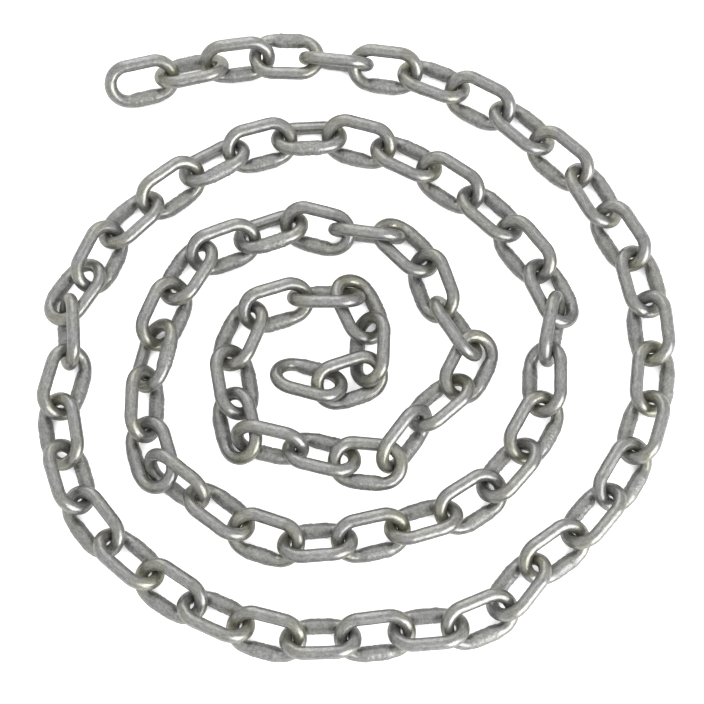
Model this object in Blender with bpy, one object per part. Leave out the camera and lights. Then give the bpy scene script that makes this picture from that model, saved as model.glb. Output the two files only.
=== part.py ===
"""Two metres of welded steel chain, laid out flat on the floor in a spiral of three and a half turns.

Every link is an oval of round wire with one weld in a straight side. The links lean in turn, one with
its outer side up and the next with its inner side up, as a chain's links do when it lies on a floor.
Each object is two neighbouring links that touch, so that the 84 links are 42 objects.
"""
import math

import bmesh
import bpy
import numpy as np
from mathutils import Matrix

MM = 0.001

# Driving dimensions
WIRE = 6.0 * MM           # diameter of the wire
STEP = 24.0 * MM          # inner length of a link, which is the chain's step: four wires
EYE = 11.2 * MM           # inner width of a link
LINKS = 84                # 84 steps of 24 mm make the two metres
WELD = 7.0 * MM           # diameter at the weld, where the wire's ends are pressed together
WELD_LENGTH = 5.0 * MM    # length of the weld's thickest stretch

# How the links lie: the side that is up, as an angle from the floor, + for the outer side
OUTER_UP = 42.0
INNER_UP = -34.0
LOW = -26.0
STEEP = -63.0
UPRIGHT = 88.0
OWN_LEAN = {
    2: -40.0, 3: 59.0, 4: -3.0, 5: -78.0, 7: -31.0, 8: 39.0, 13: -28.0, 15: -31.0, 17: -31.0, 21: -31.0,
    22: 39.0, 30: 46.0, 32: 39.0, 33: -70.0, 34: LOW, 39: 31.0, 41: 39.0, 47: -75.0, 49: LOW, 51: LOW,
    55: LOW, 57: STEEP, 58: LOW, 59: 56.0, 60: -43.0, 61: 39.0, 65: 39.0, 66: UPRIGHT, 67: -31.0,
    69: STEEP, 70: LOW, 72: STEEP, 73: -11.0, 74: 38.0, 75: STEEP, 76: INNER_UP, 77: 39.0, 80: -60.0,
    81: LOW, 82: 46.0, 83: -20.0, 84: 37.0,
}
WELD_UP = (38, 40, 60, 64)    # the links whose weld is in the side that is up

# The chain's line on the floor: the place of a joint, in millimetres. Joint 0 is the outer end and
# joint 84 the inner one, and the joints between two marks lie on a smooth curve through them.
ROUTE = {
    0: (-109.5, 128.5), 3: (-44, 142.5), 5: (3, 139), 6: (28.5, 135.5), 8: (71.5, 115.5), 9: (89, 99),
    10: (107, 83.5), 11: (118.5, 62.5), 12: (130, 43), 14: (137, -3.5), 16: (127, -48.5), 18: (99, -87),
    19: (79.5, -100.5), 20: (64.5, -119.5), 21: (46.5, -127), 22: (21.5, -129), 24: (-26, -132.5),
    26: (-69.5, -117.5), 28: (-107, -89.5), 29: (-121.5, -71.5), 31: (-132.5, -28), 32: (-127.5, -6.5),
    33: (-130.5, 18.5), 34: (-120.5, 34), 35: (-111.5, 52.5), 36: (-94, 69.5), 38: (-54.5, 95.5),
    40: (-8, 103), 42: (35.5, 86.5), 44: (71.5, 58), 46: (97.5, 21), 47: (87, -9), 48: (86, -33),
    50: (63, -65), 51: (44, -77), 54: (-27.5, -91.5), 56: (-66, -73), 57: (-88, -57.5),
    58: (-95, -34.5), 60: (-88.5, 5.5), 62: (-69.5, 44), 63: (-48.5, 52), 64: (-26.5, 59.5),
    65: (-7, 55), 66: (18.5, 53.5), 67: (34, 38.5), 68: (40.5, 19.5), 69: (56, -1.5), 70: (47.5, -19.5),
    71: (32, -33), 72: (18, -55), 73: (-3, -53.5), 74: (-26.5, -48), 75: (-49, -43.5),
    76: (-52.5, -27.5), 77: (-55.5, -6), 78: (-46.5, 16), 80: (0, 24.5), 81: (8, 9), 82: (7.5, -12.5),
    83: (-10, -18.5), 84: (-29, -13.5),
}

# The facets that stand for the round wire
SIDES = 8                 # flats round the wire
TURNS = 6                 # corners round each end of a link
SHARP = math.radians(50)  # edges sharper than this show as edges
CORNER = math.sqrt(2 * math.pi / (SIDES * math.sin(2 * math.pi / SIDES)))   # keeps the wire's area
FACET = CORNER * math.cos(math.pi / SIDES)

# Looks of the zinc skin
ZINC_GREY = (0.42, 0.42, 0.40, 1.0)
ZINC_METALLIC = 0.9
ZINC_ROUGHNESS = 0.45

# Worked out from the driving dimensions
BEND = (EYE + WIRE) / 2               # radius of a link's round end, on the wire's centre line
HALF_LEG = (STEP - EYE) / 2           # half the length of a straight side

# How near two neighbours' centre lines come: the two links of one object press into each other a
# little, and the others keep a gap
JOINED = WIRE - 0.4 * MM
FREE = WIRE + 0.6 * MM
SEATED = 0.02 * MM        # what may still be missing when the links count as seated
SEAT_ROUNDS = 800
SLIDE = 0.35              # share of a push that a link gives way to at once
SWING = 0.25              # and the share that it turns by
HELD_ROUNDS = 300         # while these last, the links are held back to where they were laid
HOLD = 0.1                # share of the way back, in the first round
SINK = 0.05 * MM          # how far a raised link sinks in the first round
FINE = 8                  # steps on each straight run, where centre lines are compared


def centre_line(spread):
    """One link's centre line in its own plane, as corners whose sides touch the round ends.

    Each straight run between corners is cut into `spread` steps. The first leg starts at +x, -y.
    """
    turn = math.pi / TURNS
    angles = (np.arange(TURNS) + 0.5) * turn - math.pi / 2
    reach = BEND / math.cos(turn / 2)
    end = np.stack([HALF_LEG + reach * np.cos(angles), reach * np.sin(angles)], axis=1)
    corners = np.concatenate([end, -end])
    following = np.roll(corners, -1, axis=0)
    share = np.arange(spread)[:, None, None] / spread
    return (corners + share * (following - corners)).transpose(1, 0, 2).reshape(-1, 2)


def joints():
    """Places of all the joints, on a smooth curve through the marks of the route."""
    marks = np.array(sorted(ROUTE), dtype=float)
    places = np.array([ROUTE[int(k)] for k in marks]) * MM
    before = np.clip(np.arange(len(marks)) - 1, 0, None)
    after = np.clip(np.arange(len(marks)) + 1, None, len(marks) - 1)
    slopes = (places[after] - places[before]) / (marks[after] - marks[before])[:, None]
    at = np.arange(LINKS + 1)
    left = np.clip(np.searchsorted(marks, at, side="right") - 1, 0, len(marks) - 2)
    width = (marks[left + 1] - marks[left])[:, None]
    u = (at[:, None] - marks[left][:, None]) / width
    return ((1 + 2 * u) * (1 - u) ** 2 * places[left] + u * (1 - u) ** 2 * width * slopes[left]
            + u ** 2 * (3 - 2 * u) * places[left + 1] + u ** 2 * (u - 1) * width * slopes[left + 1])


def leans():
    """Each link's lean in radians: the other way than the link before it, unless it has its own."""
    angles = []
    for link in range(1, LINKS + 1):
        usual = INNER_UP if angles and angles[-1] > 0 else OUTER_UP
        angles.append(OWN_LEAN.get(link, usual))
    return np.radians(angles)


def weld_is_low(link):
    return link not in WELD_UP


def floor_heights(lean):
    """Height of each link's middle when its lower side lies on the floor."""
    low_weld = np.array([weld_is_low(link) for link in range(1, LINKS + 1)])
    return BEND * np.abs(np.sin(lean)) + FACET * np.where(low_weld, WELD, WIRE) / 2


def frames(heading, lean):
    """Unit vectors along each link and across it, from its inner side to its outer side."""
    nothing = np.zeros_like(heading)
    along = np.stack([np.cos(heading), np.sin(heading), nothing], axis=1)
    outward = np.stack([-np.sin(heading), np.cos(heading), nothing], axis=1)
    up = np.array([0.0, 0.0, 1.0])
    across = outward * np.cos(lean)[:, None] + up * np.sin(lean)[:, None]
    return along, across


def lines(middle, heading, lean):
    """All the links' centre lines in space."""
    along, across = frames(heading, lean)
    flat = centre_line(FINE)
    return (middle[:, None] + flat[None, :, :1] * along[:, None] + flat[None, :, 1:] * across[:, None])


def nearest(first, second):
    """Where each pair of centre lines comes nearest: both places, the unit step and the distance."""
    squares = ((first ** 2).sum(axis=2)[:, :, None] + (second ** 2).sum(axis=2)[:, None, :]
               - 2 * first @ second.transpose(0, 2, 1))
    flat = squares.reshape(len(squares), -1).argmin(axis=1)
    here, there = np.unravel_index(flat, squares.shape[1:])
    row = np.arange(len(first))
    start = first[row, here]
    step = second[row, there] - start
    distance = np.linalg.norm(step, axis=1)
    return start, step / distance[:, None], distance


def give_way(middle, heading, floor, links, points, push):
    """Move links by part of a push, though not into the floor, and turn each a little."""
    arm = points[:, :2] - middle[links, :2]
    middle[links] += SLIDE * push
    middle[links, 2] = np.maximum(middle[links, 2], floor[links])
    turn = arm[:, 0] * push[:, 1] - arm[:, 1] * push[:, 0]
    heading[links] += SWING * turn / ((arm ** 2).sum(axis=1) + BEND ** 2)


def seat():
    """Lay the links along the route, then let them slide, turn and rise until neighbours meet.

    Neighbours come to their wanted distance, and the two links beside each link stay clear of each
    other. The pairs are taken in groups in which no link stands twice. At first the links are also
    held back to where they were laid and sink towards the floor, and this fades out.
    """
    places = joints()
    lean = leans()
    floor = floor_heights(lean)
    middle = np.column_stack([(places[1:] + places[:-1]) / 2, floor])
    chord = places[1:] - places[:-1]
    heading = np.unwrap(np.arctan2(chord[:, 1], chord[:, 0]))
    laid_middle, laid_heading = middle.copy(), heading.copy()
    wanted = np.where(np.arange(LINKS - 1) % 2 == 0, JOINED, FREE)
    groups = [(apart, start) for apart in (1, 2) for start in range(2 * apart)]
    for turn in range(SEAT_ROUNDS):
        worst = 0.0
        for apart, start in groups:
            first = np.arange(start, LINKS - apart, 2 * apart)
            drawn = lines(middle, heading, lean)
            point, step, distance = nearest(drawn[first], drawn[first + apart])
            if apart == 1:
                miss = wanted[first] - distance
                worst = max(worst, np.abs(miss).max())
            else:
                miss = np.clip(FREE - distance, 0.0, None)
            push = step * miss[:, None]
            give_way(middle, heading, floor, first, point, -push)
            give_way(middle, heading, floor, first + apart, point + step * distance[:, None], push)
        fading = max(0.0, 1 - turn / HELD_ROUNDS)
        if fading == 0 and worst < SEATED:
            break
        middle[:, :2] += HOLD * fading * (laid_middle - middle)[:, :2]
        heading += HOLD * fading * (laid_heading - heading)
        middle[:, 2] = np.maximum(middle[:, 2] - SINK * fading, floor)
    return middle, heading, lean


def steel():
    """Galvanised steel: grey and satin."""
    material = bpy.data.materials.new("galvanised_steel")
    material.use_nodes = True
    shader = material.node_tree.nodes["Principled BSDF"]
    shader.inputs["Base Color"].default_value = ZINC_GREY
    shader.inputs["Metallic"].default_value = ZINC_METALLIC
    shader.inputs["Roughness"].default_value = ZINC_ROUGHNESS
    return material


def link_points(link, lean):
    """Corner points of one link with the wire's radius at each, the weld's two among them."""
    corners = centre_line(1)
    radii = np.full(len(corners), WIRE / 2)
    outer_side_up = lean > 0
    weld_outer = outer_side_up != weld_is_low(link)
    across = BEND if weld_outer else -BEND
    ends = np.array([[WELD_LENGTH / 2, across], [-WELD_LENGTH / 2, across]])
    if weld_outer:
        place = TURNS
    else:
        place = 2 * TURNS
        ends = ends[::-1]
    corners = np.insert(corners, place, ends, axis=0)
    radii = np.insert(radii, place, [WELD / 2, WELD / 2])
    return corners, radii


def link_mesh(name, link, middle, heading, lean):
    """One link as a closed wire, turned and placed."""
    corners, radii = link_points(link, lean)
    curve = bpy.data.curves.new(name, "CURVE")
    curve.dimensions = "3D"
    curve.bevel_depth = WIRE / 2 * CORNER
    curve.bevel_resolution = SIDES // 2 - 2
    spline = curve.splines.new("POLY")
    spline.points.add(len(corners) - 1)
    spline.use_cyclic_u = True
    flat_down = math.pi / SIDES - abs(lean)
    for point, corner, radius in zip(spline.points, corners, radii):
        point.co = (corner[0], corner[1], 0.0, 1.0)
        point.radius = radius / (WIRE / 2)
        point.tilt = flat_down
    wire = bpy.data.objects.new(name, curve)
    bpy.context.scene.collection.objects.link(wire)
    wire.location = middle
    wire.rotation_euler = (lean, 0.0, heading)
    bpy.context.view_layer.update()
    evaluated = wire.evaluated_get(bpy.context.evaluated_depsgraph_get())
    mesh = bpy.data.meshes.new_from_object(evaluated)
    mesh.transform(wire.matrix_world)
    bpy.data.objects.remove(wire)
    bpy.data.curves.remove(curve)
    return mesh


def keep_outer_skin(mesh):
    """Remove the small closed pockets that can be left where two bends press into each other."""
    shape = bmesh.new()
    shape.from_mesh(mesh)
    unseen = set(shape.verts)
    skins = []
    while unseen:
        skin = set()
        edge_of_skin = [unseen.pop()]
        while edge_of_skin:
            corner = edge_of_skin.pop()
            skin.add(corner)
            beyond = {edge.other_vert(corner) for edge in corner.link_edges} & unseen
            unseen -= beyond
            edge_of_skin.extend(beyond)
        skins.append(skin)
    largest = max(skins, key=len)
    pockets = [corner for corner in shape.verts if corner not in largest]
    bmesh.ops.delete(shape, geom=pockets, context="VERTS")
    shape.to_mesh(mesh)
    shape.free()


def fused(name, first, second, material):
    """Two linked meshes that press into each other, made one closed body."""
    body = bpy.data.objects.new(name, first)
    other = bpy.data.objects.new(name + "_second", second)
    collection = bpy.context.scene.collection
    collection.objects.link(body)
    collection.objects.link(other)
    union = body.modifiers.new("union", "BOOLEAN")
    union.operation = "UNION"
    union.solver = "EXACT"
    union.object = other
    bpy.context.view_layer.update()
    evaluated = body.evaluated_get(bpy.context.evaluated_depsgraph_get())
    mesh = bpy.data.meshes.new_from_object(evaluated)
    mesh.name = name
    keep_outer_skin(mesh)
    bpy.data.objects.remove(body)
    bpy.data.objects.remove(other)
    mesh.materials.clear()
    mesh.materials.append(material)
    mesh.shade_smooth()
    mesh.set_sharp_from_angle(angle=SHARP)
    return bpy.data.objects.new(name, mesh)


def corners_of(objects):
    """All the objects' corner points, in one array."""
    points = []
    for part in objects:
        places = np.empty(3 * len(part.data.vertices))
        part.data.vertices.foreach_get("co", places)
        points.append(places.reshape(-1, 3))
    return np.concatenate(points)


def centre_on_floor(objects):
    """Shift everything so that the box's middle is over the origin and the lowest point at zero."""
    points = corners_of(objects)
    low, high = points.min(axis=0), points.max(axis=0)
    shift = Matrix.Translation((-(low[0] + high[0]) / 2, -(low[1] + high[1]) / 2, -low[2]))
    for part in objects:
        part.data.transform(shift)


def main():
    for old in list(bpy.data.objects):
        bpy.data.objects.remove(old, do_unlink=True)
    chain = bpy.data.collections.new("steel_chain_spiral")
    bpy.context.scene.collection.children.link(chain)
    material = steel()
    middle, heading, lean = seat()
    pairs = []
    for first in range(0, LINKS, 2):
        name = f"links_{first + 1:02d}_{first + 2:02d}"
        meshes = [link_mesh(name, link + 1, middle[link], heading[link], lean[link])
                  for link in (first, first + 1)]
        pair = fused(name, *meshes, material)
        chain.objects.link(pair)
        pairs.append(pair)
    centre_on_floor(pairs)


if __name__ == "__main__":
    main()
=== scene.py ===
# %% [markdown]
# # Two metres of galvanised chain, laid out in a spiral
#
# The object is one length of welded steel chain. Its 84 links lie on the floor in a flat spiral of
# three and a half turns. Each link is an oval of round wire, welded in one straight side and then
# dipped in molten zinc, which leaves a grey and slightly lumpy skin. The solids of the model already
# lie in their places, as 42 pairs of links with flat facets. This lesson lays a finely shaped link
# over each of the 84, and then gives them all their zinc.

# %% Load the solids
import math

import bpy
import numpy as np
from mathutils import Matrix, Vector


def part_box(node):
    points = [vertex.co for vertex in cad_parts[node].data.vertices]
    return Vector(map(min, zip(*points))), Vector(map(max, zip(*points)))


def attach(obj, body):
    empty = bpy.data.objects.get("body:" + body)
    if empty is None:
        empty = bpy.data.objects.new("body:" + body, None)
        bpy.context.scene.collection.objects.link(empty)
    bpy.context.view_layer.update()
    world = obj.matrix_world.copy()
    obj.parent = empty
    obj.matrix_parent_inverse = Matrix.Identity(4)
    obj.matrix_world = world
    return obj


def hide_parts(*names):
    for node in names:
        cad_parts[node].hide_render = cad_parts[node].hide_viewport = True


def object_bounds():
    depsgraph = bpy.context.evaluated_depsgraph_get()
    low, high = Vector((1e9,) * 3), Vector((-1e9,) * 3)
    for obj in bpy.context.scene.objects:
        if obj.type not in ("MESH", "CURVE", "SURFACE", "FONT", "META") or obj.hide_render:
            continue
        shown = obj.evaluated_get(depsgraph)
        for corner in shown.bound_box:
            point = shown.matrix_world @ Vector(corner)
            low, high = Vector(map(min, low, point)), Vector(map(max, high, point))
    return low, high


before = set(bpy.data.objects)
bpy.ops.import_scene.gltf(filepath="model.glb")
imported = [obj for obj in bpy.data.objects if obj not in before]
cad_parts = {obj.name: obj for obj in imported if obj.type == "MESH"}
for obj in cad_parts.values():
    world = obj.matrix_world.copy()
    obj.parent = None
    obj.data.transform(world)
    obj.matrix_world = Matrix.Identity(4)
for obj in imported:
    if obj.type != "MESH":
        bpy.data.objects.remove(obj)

cad_low, cad_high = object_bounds()
print(len(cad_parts), "solids in a box of", [round(1000 * side, 1) for side in cad_high - cad_low], "mm")

# %% [markdown]
# ## The camera
#
# The picture is taken from nearly straight above, from a height of about three times the spiral's
# width. The far side of the spiral is then only a little smaller than the near side. The camera could
# be aimed by hand, but here its tilt, distance and focal length are what a drawing of the chain over
# the photograph gave, so they are named values and the rest follows from them.

# %% Camera
MM = 0.001
PICTURE_SIDE = 704            # pixels of the square picture
FOCAL_PIXELS = 1800           # the lens, in pixels of the picture
SENSOR = 36.0                 # width of the sensor in Blender's own unit for a lens
TILT = math.radians(16)       # how far the view leans away from straight down
DISTANCE = 825.5 * MM         # from the lens to the floor in the picture's middle
AIM = np.array([-2.6, -6.3, 0.0]) * MM      # the place on the floor that the lens looks at
NEAREST = 50 * MM             # what is nearer to the lens than this isn't drawn

lens = bpy.data.cameras.new("camera")
lens.sensor_width = SENSOR
lens.lens = SENSOR * FOCAL_PIXELS / PICTURE_SIDE
lens.clip_start = NEAREST
camera = bpy.data.objects.new("camera", lens)
camera.location = AIM + DISTANCE * np.array([0.0, -math.sin(TILT), math.cos(TILT)])
camera.rotation_euler = (TILT, 0.0, 0.0)
bpy.context.scene.collection.objects.link(camera)
bpy.context.scene.camera = camera
print("lens of", round(lens.lens, 1), "mm at", [round(1000 * side) for side in camera.location], "mm")

# %% [markdown]
# ## The chain's own sizes
#
# A link chain is described by three numbers: the diameter of its wire, the inner length of a link,
# which is also the chain's step, and the inner width. All shapes below are worked out from them.

# %% Sizes of a link
WIRE = 6.0 * MM               # diameter of the wire
STEP = 24.0 * MM              # inner length of a link: four wires
EYE = 11.2 * MM               # inner width of a link
LINKS = 84
WELD = 7.0 * MM               # diameter at the weld, where the wire's ends are pressed together

BEND = (EYE + WIRE) / 2       # radius of a link's round end, on the wire's centre line
HALF_LEG = (STEP - EYE) / 2   # half the length of a straight side
AROUND = 4 * HALF_LEG + 2 * math.pi * BEND
print("wire in one link:", round(AROUND / MM, 1), "mm, chain:", round(LINKS * STEP, 2), "m")

# %% [markdown]
# ## Where the links lie
#
# The spiral isn't a perfect one, because somebody laid it out by hand. So its route is a list of
# places on the floor, one for every joint or two between the links, and a smooth curve runs through
# them. Between two marks the curve is a cubic that starts and ends with the slope of the chord
# between the marks before and after.

# %% Route on the floor
ROUTE = {                     # joint: its place, in millimetres
    0: (-109.5, 128.5), 3: (-44, 142.5), 5: (3, 139), 6: (28.5, 135.5), 8: (71.5, 115.5), 9: (89, 99),
    10: (107, 83.5), 11: (118.5, 62.5), 12: (130, 43), 14: (137, -3.5), 16: (127, -48.5), 18: (99, -87),
    19: (79.5, -100.5), 20: (64.5, -119.5), 21: (46.5, -127), 22: (21.5, -129), 24: (-26, -132.5),
    26: (-69.5, -117.5), 28: (-107, -89.5), 29: (-121.5, -71.5), 31: (-132.5, -28), 32: (-127.5, -6.5),
    33: (-130.5, 18.5), 34: (-120.5, 34), 35: (-111.5, 52.5), 36: (-94, 69.5), 38: (-54.5, 95.5),
    40: (-8, 103), 42: (35.5, 86.5), 44: (71.5, 58), 46: (97.5, 21), 47: (87, -9), 48: (86, -33),
    50: (63, -65), 51: (44, -77), 54: (-27.5, -91.5), 56: (-66, -73), 57: (-88, -57.5),
    58: (-95, -34.5), 60: (-88.5, 5.5), 62: (-69.5, 44), 63: (-48.5, 52), 64: (-26.5, 59.5),
    65: (-7, 55), 66: (18.5, 53.5), 67: (34, 38.5), 68: (40.5, 19.5), 69: (56, -1.5), 70: (47.5, -19.5),
    71: (32, -33), 72: (18, -55), 73: (-3, -53.5), 74: (-26.5, -48), 75: (-49, -43.5),
    76: (-52.5, -27.5), 77: (-55.5, -6), 78: (-46.5, 16), 80: (0, 24.5), 81: (8, 9), 82: (7.5, -12.5),
    83: (-10, -18.5), 84: (-29, -13.5),
}


def joints():
    """Places of all the joints: a cubic between marks, with the slopes of the chords beside them."""
    marks = np.array(sorted(ROUTE), dtype=float)
    places = np.array([ROUTE[int(mark)] for mark in marks]) * MM
    before = np.clip(np.arange(len(marks)) - 1, 0, None)
    after = np.clip(np.arange(len(marks)) + 1, None, len(marks) - 1)
    slopes = (places[after] - places[before]) / (marks[after] - marks[before])[:, None]
    at = np.arange(LINKS + 1)
    left = np.clip(np.searchsorted(marks, at, side="right") - 1, 0, len(marks) - 2)
    width = (marks[left + 1] - marks[left])[:, None]
    u = (at[:, None] - marks[left][:, None]) / width
    return ((1 + 2 * u) * (1 - u) ** 2 * places[left] + u * (1 - u) ** 2 * width * slopes[left]
            + u ** 2 * (3 - 2 * u) * places[left + 1] + u ** 2 * (u - 1) * width * slopes[left + 1])


places = joints()

# %% [markdown]
# A chain on a floor can't lie with all its links flat, because each passes through the next. Its
# links lean in turn: one rests on its inner side with the outer side up, and the next the other way
# round. A few stand nearly upright, one leans a little past that, and a few lie nearly flat, where
# the chain was turned by hand.

# %% How each link leans
OUTER_UP = 42.0               # degrees from the floor, + where the outer side is up
INNER_UP = -34.0              # and - where the inner side is up
LOW = -26.0
STEEP = -63.0
PAST_UPRIGHT = 105.0
OWN_LEAN = {                  # link: its lean, where it isn't one of the first two
    2: -40.0, 3: 59.0, 4: -3.0, 5: -70.0, 7: -31.0, 8: 39.0, 13: -28.0, 15: -31.0, 17: -31.0, 21: -31.0,
    22: 39.0, 30: 46.0, 32: 39.0, 33: -70.0, 34: LOW, 39: 31.0, 41: 39.0, 47: -75.0, 49: LOW, 51: LOW,
    55: LOW, 57: STEEP, 58: LOW, 59: 56.0, 60: -43.0, 61: 39.0, 65: 39.0, 66: PAST_UPRIGHT, 67: -31.0,
    69: STEEP, 70: LOW, 72: STEEP, 73: -11.0, 74: 38.0, 75: STEEP, 76: INNER_UP, 77: 39.0, 80: -60.0,
    81: LOW, 82: 46.0, 83: -20.0, 84: 37.0,
}
WELD_UP = (38, 40, 60, 64)    # the links whose weld is in the side that is up


def leans():
    """Each link's lean in radians: the other way than the link before it, unless it has its own."""
    angles = []
    for link in range(1, LINKS + 1):
        usual = INNER_UP if angles and angles[-1] > 0 else OUTER_UP
        angles.append(OWN_LEAN.get(link, usual))
    return np.radians(angles)


lean = leans()
print("outer side up:", int((lean > 0).sum()), "links, inner side up:", int((lean < 0).sum()))

# %% [markdown]
# ## The oval that every link follows
#
# A link's centre line is an oval with two straight sides and two half circles. It could be drawn as
# four pieces. It is simpler to see it as a short straight core that has grown by the bend's radius: a
# point runs along the core and back, and the oval is that point plus the radius times the way out.

# %% Centre line of a link
def oval(s):
    """The oval at the lengths s along it: where the point is on its core, and how far it has turned.

    The core runs from -HALF_LEG to +HALF_LEG. The point starts in its middle, below which the weld
    lies, waits at each end while the way out turns by half a circle, and comes back to the start.
    """
    bend = math.pi * BEND
    s = np.mod(s, AROUND)
    core = (np.clip(s, 0, HALF_LEG) - np.clip(s - HALF_LEG - bend, 0, 2 * HALF_LEG)
            + np.clip(s - 3 * HALF_LEG - 2 * bend, 0, HALF_LEG))
    turned = (np.clip((s - HALF_LEG) / BEND, 0, math.pi)
              + np.clip((s - 3 * HALF_LEG - bend) / BEND, 0, math.pi))
    return core, turned


def centre_line(s):
    """Places on the oval and the way out at each: the core's point plus BEND times the way out."""
    core, turned = oval(s)
    out = np.stack([np.sin(turned), -np.cos(turned)], axis=-1)
    line = BEND * out
    line[..., 0] += core
    return line, out


MEASURED = 1000               # places on the oval that are measured
line, _ = centre_line(np.linspace(0, AROUND, MEASURED))
print("oval:", [round(side / MM, 1) for side in np.ptp(line, axis=0) + WIRE], "mm outside")

# %% [markdown]
# ## Laying the links until they meet
#
# Links set out along the route don't quite meet. They are slid, turned and raised, a little at a
# time, until the centre lines of neighbours come as near as two wires that bear on each other, and
# none sinks into the floor. This could be left to a physics simulation, but the place of every link
# is known already to about a millimetre, and this keeps it there. It starts with every link's middle
# half way between its joints, its heading along the step between them, and its low side on the floor.

# %% Set the links out
SHOWN_WIRE = 5.92 * MM        # what remains of the wire's diameter where it isn't swollen
LOW_SIDE = 3.3 * MM           # height of the centre line over the floor, in a side with a weld


def resting_heights():
    """Heights of the middles: that of the low side's centre line, plus BEND times the lean's sine."""
    low_weld = ~np.isin(np.arange(1, LINKS + 1), WELD_UP)
    return np.where(low_weld, LOW_SIDE, SHOWN_WIRE / 2) + BEND * np.abs(np.sin(lean))


floor = resting_heights()
route_middle = np.column_stack([(places[1:] + places[:-1]) / 2, floor])
chord = places[1:] - places[:-1]
route_heading = np.unwrap(np.arctan2(chord[:, 1], chord[:, 0]))
print("the links turn", round(abs(route_heading[-1] - route_heading[0]) / (2 * math.pi), 2), "times round")

# %% [markdown]
# A link's middle, heading and lean give its centre line in space. Each could be an object that Blender
# turns. Whole arrays are much quicker, and the same two unit vectors later carry the wire's surface.

# %% Centre lines in space
CORNERS = 96                  # places on a link's centre line that are compared


def frames(heading, lean):
    """Unit vectors along each link and across it, from its inner side to its outer side."""
    nothing = np.zeros_like(heading)
    along = np.stack([np.cos(heading), np.sin(heading), nothing], axis=1)
    outward = np.stack([-np.sin(heading), np.cos(heading), nothing], axis=1)
    across = outward * np.cos(lean)[:, None] + np.array([0.0, 0.0, 1.0]) * np.sin(lean)[:, None]
    return along, across


def lines(middle, heading, lean):
    """All the links' centre lines in space."""
    along, across = frames(heading, lean)
    flat, _ = centre_line(np.arange(CORNERS) * AROUND / CORNERS)
    return middle[:, None] + flat[None, :, :1] * along[:, None] + flat[None, :, 1:] * across[:, None]


drawn = lines(route_middle, route_heading, lean)
print("set out, the centre lines reach", round(drawn[..., 2].max() / MM, 1), "mm over the floor")

# %% [markdown]
# Two links meet where their centre lines come nearest. A formula exists for straight lines, but ovals
# would need many of them. So every corner of one line is compared with every corner of the other, and
# the smallest distance is taken. The square of a distance is a^2 + b^2 - 2ab, which one product of
# two arrays gives for all of them.

# %% Where links come nearest
def nearest(first, second):
    """Where each pair of centre lines comes nearest: the place, the unit step across, the distance."""
    squares = ((first ** 2).sum(axis=2)[:, :, None] + (second ** 2).sum(axis=2)[:, None, :]
               - 2 * first @ second.transpose(0, 2, 1))
    here, there = np.unravel_index(squares.reshape(len(squares), -1).argmin(axis=1), squares.shape[1:])
    row = np.arange(len(first))
    start = first[row, here]
    step = second[row, there] - start
    distance = np.linalg.norm(step, axis=1)
    return start, step / distance[:, None], distance


gaps = nearest(drawn[:-1], drawn[1:])[2] / MM
print("set out, neighbours are", round(gaps.min(), 1), "to", round(gaps.max(), 1), "mm apart")

# %% [markdown]
# In each round, neighbours are pushed apart or pulled together where they come nearest. A link gives
# way to a push in two ways: it slides, and it turns by as much as the push has a lever on it. It only
# takes a share of each at a time, because a full step would send it into its other neighbour, and the
# chain would shake instead of coming to rest.

# %% Let the links give way
ROUNDS = 800
MET = 0.02 * MM               # what may still be missing between neighbours
SLIDE = 0.35                  # share of a push that a link gives way to at once
SWING = 0.25                  # and the share that it turns by
HOLD = 0.1                    # share of the way back to where it was set out, in the first round
SINK = 0.05 * MM              # how far a raised link sinks in the first round


def give_way(middle, heading, floor, links, points, push):
    """Move links by part of a push, though not into the floor, and turn each a little.

    The turn is the push times its lever, over the lever's square plus the bend's radius squared.
    """
    arm = points[:, :2] - middle[links, :2]
    middle[links] += SLIDE * push
    middle[links, 2] = np.maximum(middle[links, 2], floor[links])
    turn = arm[:, 0] * push[:, 1] - arm[:, 1] * push[:, 0]
    heading[links] += SWING * turn / ((arm ** 2).sum(axis=1) + BEND ** 2)


def settle(middle, heading, floor, wanted, held_rounds):
    """Let the links give way until each pair of neighbours has its wanted distance.

    Links two places apart only keep clear of each other. The pairs are taken in groups in which no
    link stands twice. The hold on the links' first places fades out over the held rounds.
    """
    laid_middle, laid_heading = middle.copy(), heading.copy()
    groups = [(apart, start) for apart in (1, 2) for start in range(2 * apart)]
    for turn in range(ROUNDS):
        worst = 0.0
        for apart, start in groups:
            first = np.arange(start, LINKS - apart, 2 * apart)
            drawn = lines(middle, heading, lean)
            point, step, distance = nearest(drawn[first], drawn[first + apart])
            if apart == 1:
                miss = wanted[first] - distance
                worst = max(worst, np.abs(miss).max())
            else:
                miss = np.clip(wanted.max() - distance, 0.0, None)
            push = step * miss[:, None]
            give_way(middle, heading, floor, first, point, -push)
            give_way(middle, heading, floor, first + apart, point + step * distance[:, None], push)
        fading = max(0.0, 1 - turn / held_rounds)
        if fading == 0 and worst < MET:
            break
        middle[:, :2] += HOLD * fading * (laid_middle - middle)[:, :2]
        heading += HOLD * fading * (laid_heading - heading)
        middle[:, 2] = np.maximum(middle[:, 2] - SINK * fading, floor)
    print("settled in", turn, "rounds")


# %% [markdown]
# In the solids the two links of a pair press into each other a little, and the pairs keep a gap. So
# the links are first laid just like that, held back to where they were set out by a hold that fades.
# Then they find the true distance of two wires that bear on each other.

# %% Lay the links
JOINED = WIRE - 0.4 * MM      # between the centre lines of the two links of one solid
APART = WIRE + 0.6 * MM       # and of two links of different solids
BEARING = WIRE + 0.1 * MM     # and of any two links that bear on each other
HELD_ROUNDS = 300             # while these last, the links are held back to where they were set out


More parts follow.
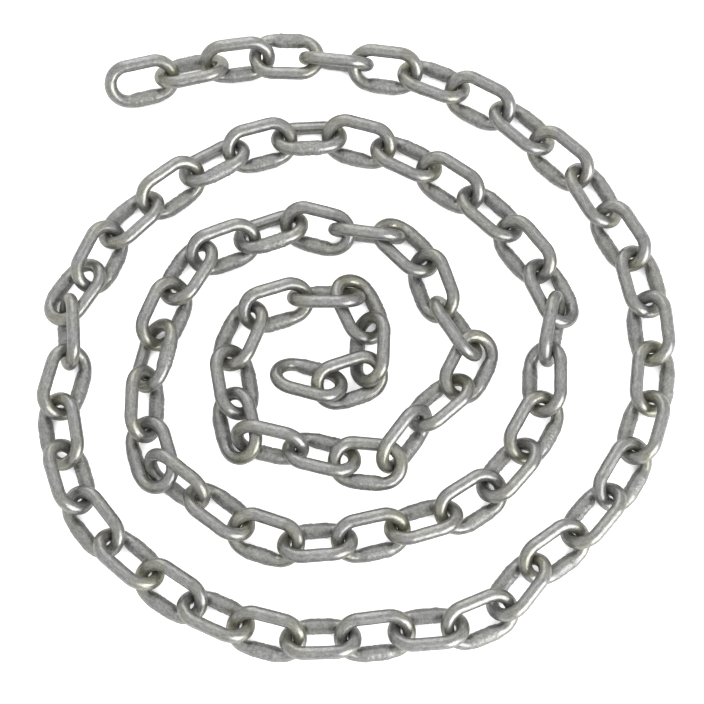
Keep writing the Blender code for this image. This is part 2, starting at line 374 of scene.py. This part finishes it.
def lay():
    """Middles and headings of the links, once neighbours bear on each other."""
    middle, heading = route_middle.copy(), route_heading.copy()
    pairs = np.where(np.arange(LINKS - 1) % 2 == 0, JOINED, APART)
    settle(middle, heading, floor, pairs, HELD_ROUNDS)
    settle(middle, heading, floor, np.full(LINKS - 1, BEARING), held_rounds=1)
    return middle, heading


middle, heading = lay()
drawn = lines(middle, heading, lean)
print("neighbours' centre lines:", (nearest(drawn[:-1], drawn[1:])[2] / MM).round(2).min(), "mm at least")

# %% [markdown]
# The solids were shifted once more, to have the origin in the middle of their box. The shift is read
# off them: it is the step from each pair of centre lines to the middle of its solid's box, which is
# nearly the same for all the pairs, so the average is taken.

# %% Move the links to the solids
def solid_of(link):
    """Name of the solid that holds a link."""
    first = link - (link - 1) % 2
    return f"links_{first:02d}_{first + 1:02d}"


def shift_to_solids():
    """Mean step on the floor from the boxes of the centre lines to the boxes of the solids."""
    steps = []
    for link in range(1, LINKS, 2):
        pair = drawn[link - 1:link + 1].reshape(-1, 3)
        low, high = (np.array(corner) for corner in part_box(solid_of(link)))
        steps.append((low + high - pair.min(axis=0) - pair.max(axis=0)) / 2)
    steps = np.array(steps)
    print("steps to the solids differ by", (np.ptp(steps[:, :2], axis=0) / MM).round(2), "mm")
    return steps.mean(axis=0) * (1, 1, 0)


shift = shift_to_solids()
middle += shift
print("moved by", (shift / MM).round(2), "mm")

# %% [markdown]
# ## The wire's own shape
#
# The wire is a round section carried along the oval. A real link isn't a perfect tube. The side with
# the weld is swollen, because the hot ends were pressed into each other and then trimmed. A ball could
# be joined to the wire there, but it would leave an edge. So the wire's own radius grows, by a smooth
# step that starts and ends without a kink.

# %% The weld's swelling
SWOLLEN = 4.0 * MM            # half of the weld's thickest stretch
PLAIN = 8.5 * MM              # beyond this the wire has its own diameter again
WELD_STRAY = 1.0 * MM         # how far a weld may lie from the middle of its side


def swelling(from_weld):
    """1 along the weld's thickest stretch and 0 on the plain wire: 3 t^2 - 2 t^3 between the two."""
    t = np.clip((PLAIN - np.abs(from_weld)) / (PLAIN - SWOLLEN), 0, 1)
    return t * t * (3 - 2 * t)


print("swelling every 2 mm from the weld:", swelling(np.arange(0, 10, 2) * MM).round(2))

# %% [markdown]
# Zinc runs and settles into soft lumps everywhere, and the weld is rougher than the rest. Both are a
# sum of waves that run along the wire and around it, and are added to its radius. Waves with whole
# numbers of turns close on themselves, so no seam shows. A displacement texture could do the same, but
# then the shape wouldn't be in the mesh.

# %% Lumps of zinc
ADDED = 16                    # how many waves each of the next rows stands for
WAVES = (                     # turns along a link, most turns round the wire, height, height in the weld
    ((3, 14), 3, 0.030 * MM, 0.05 * MM),
    ((14, 36), 7, 0.012 * MM, 0.06 * MM),
    ((24, 60), 10, 0.004 * MM, 0.045 * MM),
)


def waves(chance, turns_along, turns_round, count, share, angle):
    """Sum of cosine waves, each with whole numbers of turns along and round the wire.

    One wave is cos(2 pi times its turns along times the share of the link, plus its turns round times
    the angle, plus its own start). The sum is divided by the square root of their number.
    """
    along = chance.integers(*turns_along, count)[:, None, None]
    around = chance.integers(-turns_round, turns_round + 1, count)[:, None, None]
    start = chance.uniform(0, 2 * math.pi, count)[:, None, None]
    return np.cos(2 * math.pi * along * share + around * angle + start).sum(axis=0) / math.sqrt(count)


print("lumps:", len(WAVES), "sizes of", ADDED, "waves, the highest", round(WAVES[0][2] / MM, 3), "mm")

# %% [markdown]
# The wire's surface is a grid. Its rings stand along the oval, nearer to each other at the weld, where
# the shape is finest, and each has its corners round the wire. The grid also says three things to the
# material: how swollen the wire is, how far in a bend, and where a corner is on the unrolled wire.

# %% Surface of a link
RINGS = 144                   # sections along a link
ROUND = 28                    # corners round a section
CROWDING = 0.6                # how much nearer to each other the sections are at the weld
STREAK = 2.5                  # how many times longer than wide the streaks along the wire are


def wire_grid(link):
    """Places of the wire's corners, ring by ring, in the link's own plane, with values for its looks.

    The sections lie at s = AROUND (q - CROWDING sin(2 pi q) / 2 pi) for even steps of q, which puts
    more of them near the weld at s = 0. The radius is the plain one plus the swelling and the waves.
    """
    chance = np.random.default_rng(link)
    q = np.arange(RINGS)[:, None] / RINGS
    share = q - CROWDING * np.sin(2 * math.pi * q) / (2 * math.pi)
    angle = np.arange(ROUND)[None, :] * 2 * math.pi / ROUND
    from_weld = AROUND * (share - np.round(share))
    swollen = swelling(from_weld + chance.uniform(-1.0, 1.0) * WELD_STRAY)
    radius = SHOWN_WIRE / 2 + (WELD - SHOWN_WIRE) / 2 * swollen
    for turns_along, turns_round, height, weld_height in WAVES:
        height = height + (weld_height - height) * swollen
        radius = radius + height * waves(chance, turns_along, turns_round, ADDED, share, angle)
    line, out = centre_line(AROUND * share[:, 0])
    in_plane = line[:, None] + (radius * np.cos(angle))[..., None] * out[:, None]
    off_plane = radius * np.sin(angle)
    bent = np.abs(np.sin(oval(AROUND * share)[1]))
    drawn_out = np.abs(from_weld) / STREAK
    unrolled = np.broadcast_arrays(drawn_out, WIRE / 2 * np.cos(angle), WIRE / 2 * np.sin(angle))
    looks = {"weld": swollen, "bend": bent, "streak": np.dstack(unrolled)}
    return np.dstack([in_plane, off_plane]), looks


grid, looks = wire_grid(1)
print("one link:", grid.shape[0] * grid.shape[1], "corners,", round(np.ptp(grid[..., 2]) / MM, 2), "mm thick")

# %% [markdown]
# ## Zinc
#
# Hot-dip zinc is a dull, slightly mottled grey, a little olive where it ran together. Light glides
# along it in soft broken bands. The colour varies in patches of some millimetres, in short streaks along
# the wire, as the liquid zinc ran off, and again in grains of a fraction of a millimetre. A faint bump
# breaks up the highlights. One noise over everything would look like stone, so the streaks read the
# wire unrolled, which is its distance from the weld, shortened, and its place round the section. The
# weld is rougher and grainier, by how swollen the wire is there. A material is a tree of nodes. They
# could be set by hand in the editor, but a few helpers make and link them in one line each.

# %% Helpers for shader nodes
def add(tree, kind, settings, **inputs):
    """A new shader node. Each input is linked where a socket is given, and else set to the value."""
    made = tree.nodes.new("ShaderNode" + kind)
    for name, value in settings.items():
        setattr(made, name, value)
    for name, value in inputs.items():
        socket = made.inputs[name.replace("_", " ")]
        if isinstance(value, bpy.types.NodeSocket):
            tree.links.new(value, socket)
        else:
            socket.default_value = value
    return made


def noise(tree, where, size, detail=3.0, rough=0.5):
    """Noise from 0 to 1 whose grains are about `size` metres wide."""
    made = add(tree, "TexNoise", {}, Vector=where, Scale=1 / size, Detail=detail, Roughness=rough)
    return made.outputs["Fac"]


def between(tree, value, low, high, to_low=0.0, to_high=1.0):
    """The value carried from low..high to to_low..to_high, and kept inside."""
    made = add(tree, "MapRange", {}, Value=value)
    for name, number in (("From Min", low), ("From Max", high), ("To Min", to_low), ("To Max", to_high)):
        made.inputs[name].default_value = number
    return made.outputs["Result"]


# %% [markdown]
# Two more helpers put things together. One multiplies two values, so that a tint needs both of them to
# be high. The other mixes two colours by a share, as paints are mixed.

# %% Helpers that put values and colours together
def product(tree, first, second):
    """Two sockets' values multiplied."""
    made = add(tree, "Math", {"operation": "MULTIPLY"})
    tree.links.new(first, made.inputs[0])
    tree.links.new(second, made.inputs[1])
    return made.outputs["Value"]


def mixed(tree, share, first, second):
    """Two colours mixed by a share from 0 to 1. Each is a colour or a socket.

    The Mix node has sockets of the same name for numbers, vectors and colours, so they are taken by
    their places: 0 is the share, 6 and 7 are the colours, and output 2 is the mixed colour.
    """
    made = add(tree, "Mix", {"data_type": "RGBA"})
    for socket, value in ((made.inputs[0], share), (made.inputs[6], first), (made.inputs[7], second)):
        if isinstance(value, bpy.types.NodeSocket):
            tree.links.new(value, socket)
        else:
            socket.default_value = value
    return made.outputs[2]


# %% [markdown]
# The colour is put together from the widest pattern to the finest. Patches of darker and lighter zinc
# come first, then an olive tint that lies in clouds and is strongest in the bends, then the streaks
# along the wire, and last the grains. Each is one noise, and the range that it is read over decides
# how much of the wire it covers and how sharp its edges are. A picture of real zinc could be wrapped
# on the links instead, but every link would then show the same spots.

# %% Galvanised steel
DARK_ZINC = (0.275, 0.275, 0.270, 1.0)
LIGHT_ZINC = (0.365, 0.365, 0.360, 1.0)
OLIVE_ZINC = (0.358, 0.352, 0.257, 1.0)
BRIGHT_GRAIN = (0.46, 0.46, 0.46, 1.0)
DARK_GRAIN = (0.17, 0.17, 0.17, 1.0)

PATCHES = 5 * MM              # how wide a patch of one grey is
CLOUDS = 16 * MM              # how wide a cloud of the olive tint is
STREAKS = 0.9 * MM            # how wide a streak along the wire is
GRAINS = 0.8 * MM             # how wide a grain is
PATCH_ENDS = (0.32, 0.68)     # the noise is 0.5 on average: dark up to here, light from here on
CLOUD_ENDS = (0.42, 0.62)     # no cloud up to here, and a full one from here on
OLIVE_SHARES = (0.03, 0.95)   # share of the tint outside a cloud and inside
STRAIGHT_TINT = 0.25          # what is left of it in the straight sides, where a bend has all
SPECK_START = 0.50            # streaks and grains are brighter above this and darker below
STREAK_REACH, STREAK_SHARE = 0.20, 0.6      # how far from there they are full, and then how strong
GRAIN_REACH, GRAIN_SHARE = 0.22, 0.4
METAL = 0.8                   # the rest is dull oxide
ROUGH_WIRE, ROUGH_WELD = 0.29, 0.50
BUMP = 0.10 * MM              # height of the grains on a weld
WIRE_BUMP = 0.35              # share of that height on the plain wire


def speckled(tree, colour, specks, reach, share):
    """The colour, with bright specks where the noise is well above SPECK_START, and dark ones well below."""
    for grain, way in ((BRIGHT_GRAIN, 1), (DARK_GRAIN, -1)):
        strength = between(tree, specks, SPECK_START, SPECK_START + way * reach, 0.0, share)
        colour = mixed(tree, strength, colour, grain)
    return colour


def galvanised():
    """Mottled grey zinc: streaky along the wire, grainy on the weld, warmer and smooth in the bends."""
    material = bpy.data.materials.new("galvanised_steel")
    material.use_nodes = True
    tree = material.node_tree
    shader = tree.nodes["Principled BSDF"]
    where = add(tree, "TexCoord", {}).outputs["Object"]
    weld = add(tree, "Attribute", {"attribute_name": "weld"}).outputs["Fac"]
    bend = add(tree, "Attribute", {"attribute_name": "bend"}).outputs["Fac"]
    unrolled = add(tree, "Attribute", {"attribute_name": "streak"}).outputs["Vector"]
    patches = noise(tree, where, PATCHES, detail=3.0, rough=0.55)
    clouds = noise(tree, where, CLOUDS, detail=2.0)
    streaks = noise(tree, unrolled, STREAKS, detail=3.0, rough=0.6)
    grains = noise(tree, where, GRAINS, detail=2.0)
    colour = mixed(tree, between(tree, patches, *PATCH_ENDS), DARK_ZINC, LIGHT_ZINC)
    olive = product(tree, between(tree, clouds, *CLOUD_ENDS, *OLIVE_SHARES),
                    between(tree, bend, 0.0, 1.0, STRAIGHT_TINT, 1.0))
    colour = mixed(tree, olive, colour, OLIVE_ZINC)
    colour = speckled(tree, colour, streaks, STREAK_REACH, STREAK_SHARE)
    colour = speckled(tree, colour, grains, GRAIN_REACH, GRAIN_SHARE)
    tree.links.new(colour, shader.inputs["Base Color"])
    shader.inputs["Metallic"].default_value = METAL
    tree.links.new(between(tree, weld, 0.0, 1.0, ROUGH_WIRE, ROUGH_WELD), shader.inputs["Roughness"])
    bump = add(tree, "Bump", {}, Height=grains, Distance=BUMP)
    tree.links.new(between(tree, weld, 0.0, 1.0, WIRE_BUMP, 1.0), bump.inputs["Strength"])
    tree.links.new(bump.outputs["Normal"], shader.inputs["Normal"])
    return material


zinc = galvanised()
print("zinc has", len(zinc.node_tree.nodes), "nodes")

# %% [markdown]
# ## Making the links
#
# Every link's grid is turned and set down in its place. The welded side goes down for most links, so
# the grid is turned by half a turn in its own plane where the other side is the low one. What would
# reach out of the solids' box is set back to its sides. That is a tenth of a millimetre or two, and
# at the bottom it is the flat spot on which a weld rests.

# %% Set a link down in its place
def place(link, grid):
    """The grid of a link turned in its plane, leaned, and set down in its place.

    A corner is the link's middle, plus its first number along the link, its second across the link
    and its third square to both.
    """
    along, across = frames(heading, lean)
    row = link - 1
    weld_outer = (lean[row] > 0) == (link in WELD_UP)
    side = -1.0 if weld_outer else 1.0
    normal = np.cross(along[row], across[row])
    points = (middle[row] + side * grid[..., :1] * along[row] + side * grid[..., 1:2] * across[row]
              + grid[..., 2:] * normal)
    return np.clip(points, cad_low, cad_high)


print("link 1 reaches", round(place(1, grid)[..., 2].max() / MM, 1), "mm over the floor")

# %% [markdown]
# The grid becomes a mesh of four-sided faces, which join each ring to the next and the last ring to the
# first, so that the skin is closed. Each face lists its corners in the order that makes it face out. Every
# link is an object of its own, because each lies and leans in its own way and has its own lumps.

# %% Build the links
def tube_faces(rings, around):
    """Four corners of each face of a closed ring of rings: corner number = ring times around + side."""
    ring = np.arange(rings)[:, None] * around
    next_ring = np.roll(ring, -1, axis=0)
    side = np.arange(around)[None, :]
    next_side = np.roll(side, -1, axis=1)
    corners = np.stack([ring + side, next_ring + side, next_ring + next_side, ring + next_side], axis=2)
    return corners.reshape(-1, 4)


def make_link(link):
    """One link as its own object, in place of the solid that it belongs to."""
    grid, looks = wire_grid(link)
    points = place(link, grid)
    title = f"link_{link:02d}"
    mesh = bpy.data.meshes.new(title)
    mesh.from_pydata(points.reshape(-1, 3), [], tube_faces(RINGS, ROUND).tolist())
    for name, values in looks.items():
        vector = values.ndim == 3
        values = np.broadcast_to(values, grid.shape if vector else grid.shape[:2]).astype(np.float32)
        attribute = mesh.attributes.new(name, "FLOAT_VECTOR" if vector else "FLOAT", "POINT")
        attribute.data.foreach_set("vector" if vector else "value", values.ravel())
    mesh.shade_smooth()
    mesh.materials.append(zinc)
    piece = bpy.data.objects.new(title, mesh)
    bpy.context.scene.collection.objects.link(piece)
    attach(piece, "root")
    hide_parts(solid_of(link))
    return piece


chain = [make_link(link) for link in range(1, LINKS + 1)]
print(len(chain), "links,", 2 * len(chain) * RINGS * ROUND, "triangles")

# %% [markdown]
# ## The floor
#
# The chain lies on a plain white floor, which the picture shows without shadows. A single sheet would
# either show them, or have to glow so strongly that it lit the chain too much from beneath. So the
# floor is two sheets. The camera sees one that glows, save in narrow pockets between the links, and a
# dull one just below it does what a real floor does, which is to throw light back on the links.

# %% Floor
FLOOR_HALF = 12.0             # metres from the middle to each side
FLOOR_GAP = 0.02 * MM         # keeps the floor just clear of the links' lowest spots
DULL = 0.9                    # roughness of both sheets
SEEN_WHITE = 0.7              # how white the sheet is that the camera sees
UNDER_WHITE = 0.98            # and the one that lights the chain
GLOW = 0.93                   # light that the seen sheet gives off by itself
POCKET = 8 * MM               # how near the wires of a pocket are
POCKET_ENDS = (0.30, 0.42)    # share of open sky with no glow up to here, and all of it from here on
POCKET_RAYS = 8               # looks round for the sky, for each dot of the picture


def plane(name, height, white):
    """A wide level square with a dull white material, and that material's node tree."""
    corners = [(x * FLOOR_HALF, y * FLOOR_HALF, height) for x, y in ((-1, -1), (1, -1), (1, 1), (-1, 1))]
    mesh = bpy.data.meshes.new(name)
    mesh.from_pydata(corners, [], [(0, 1, 2, 3)])
    material = bpy.data.materials.new(name)
    material.use_nodes = True
    shader = material.node_tree.nodes["Principled BSDF"]
    shader.inputs["Base Color"].default_value = (white, white, white, 1.0)
    shader.inputs["Roughness"].default_value = DULL
    shader.inputs["Specular IOR Level"].default_value = 0.0
    mesh.materials.append(material)
    made = bpy.data.objects.new(name, mesh)
    bpy.context.scene.collection.objects.link(made)
    return made, material.node_tree


def make_floor():
    """The sheet that the camera sees glows, save in narrow pockets. The one that lights the chain doesn't."""
    floor, tree = plane("floor", -FLOOR_GAP, SEEN_WHITE)
    shader = tree.nodes["Principled BSDF"]
    open_sky = add(tree, "AmbientOcclusion", {"samples": POCKET_RAYS}, Distance=POCKET).outputs["AO"]
    shader.inputs["Emission Color"].default_value = (1.0, 1.0, 1.0, 1.0)
    tree.links.new(between(tree, open_sky, *POCKET_ENDS, 0.0, GLOW), shader.inputs["Emission Strength"])
    floor.visible_diffuse = False
    floor.visible_glossy = False
    floor.visible_shadow = False
    under, _ = plane("floor_light", -2 * FLOOR_GAP, UNDER_WHITE)
    under.visible_camera = False


make_floor()
print("floor of two sheets,", round(2 * FLOOR_HALF), "m wide")

# %% [markdown]
# ## Soft boxes
#
# A large soft box stands low at the front right. It puts a bright spot on every bend that faces it. A
# weaker one at the back draws thin lines along the wire. Each is a rectangle of light that faces the
# chain. A lamp the size of a point would light the chain as well, but round metal would then show it
# as a hard white dot, and the bright spots on this zinc are soft.

# %% Lights
def softbox(name, azimuth, elevation, distance, width, height, watts):
    """A rectangle of light that faces the chain, azimuth from +X and elevation in degrees."""
    light = bpy.data.lights.new(name, "AREA")
    light.shape = "RECTANGLE"
    light.size = width
    light.size_y = height
    light.energy = watts
    lamp = bpy.data.objects.new(name, light)
    bpy.context.scene.collection.objects.link(lamp)
    azimuth, elevation = math.radians(azimuth), math.radians(elevation)
    flat = math.cos(elevation)
    direction = Vector((flat * math.cos(azimuth), flat * math.sin(azimuth), math.sin(elevation)))
    lamp.location = distance * direction
    lamp.rotation_euler = direction.to_track_quat("Z", "Y").to_euler()
    print(name, "soft box at", [round(value, 2) for value in lamp.location], "m")


softbox("key", azimuth=314, elevation=15, distance=1.1, width=0.95, height=1.38, watts=14.5)
softbox("strip", azimuth=100, elevation=38, distance=1.3, width=0.80, height=1.60, watts=4.0)

# %% [markdown]
# ## The studio
#
# Metal shows what is round it, so the wire needs something pale to mirror on every side. White walls
# could be built, but they would stand in the way of a look from the side. A world that is pale all
# round does the same, and it is a little brighter straight above than at the horizon, as a room is.

# %% Studio around the chain
WALLS = 0.69                  # light from the horizon
CEILING = 0.94                # and from straight above


def make_world():
    """Soft light all round, which grows evenly from the horizon to the ceiling."""
    world = bpy.data.worlds.new("studio")
    world.use_nodes = True
    tree = world.node_tree
    background = tree.nodes["Background"]
    direction = add(tree, "TexCoord", {}).outputs["Generated"]
    height = add(tree, "SeparateXYZ", {}, Vector=direction).outputs["Z"]
    tree.links.new(between(tree, height, 0.0, 1.0, WALLS, CEILING), background.inputs["Strength"])
    background.inputs["Color"].default_value = (1.0, 1.0, 1.0, 1.0)
    bpy.context.scene.world = world


make_world()
bpy.context.scene.view_settings.view_transform = "Standard"
print("light all round: from", WALLS, "to", CEILING)
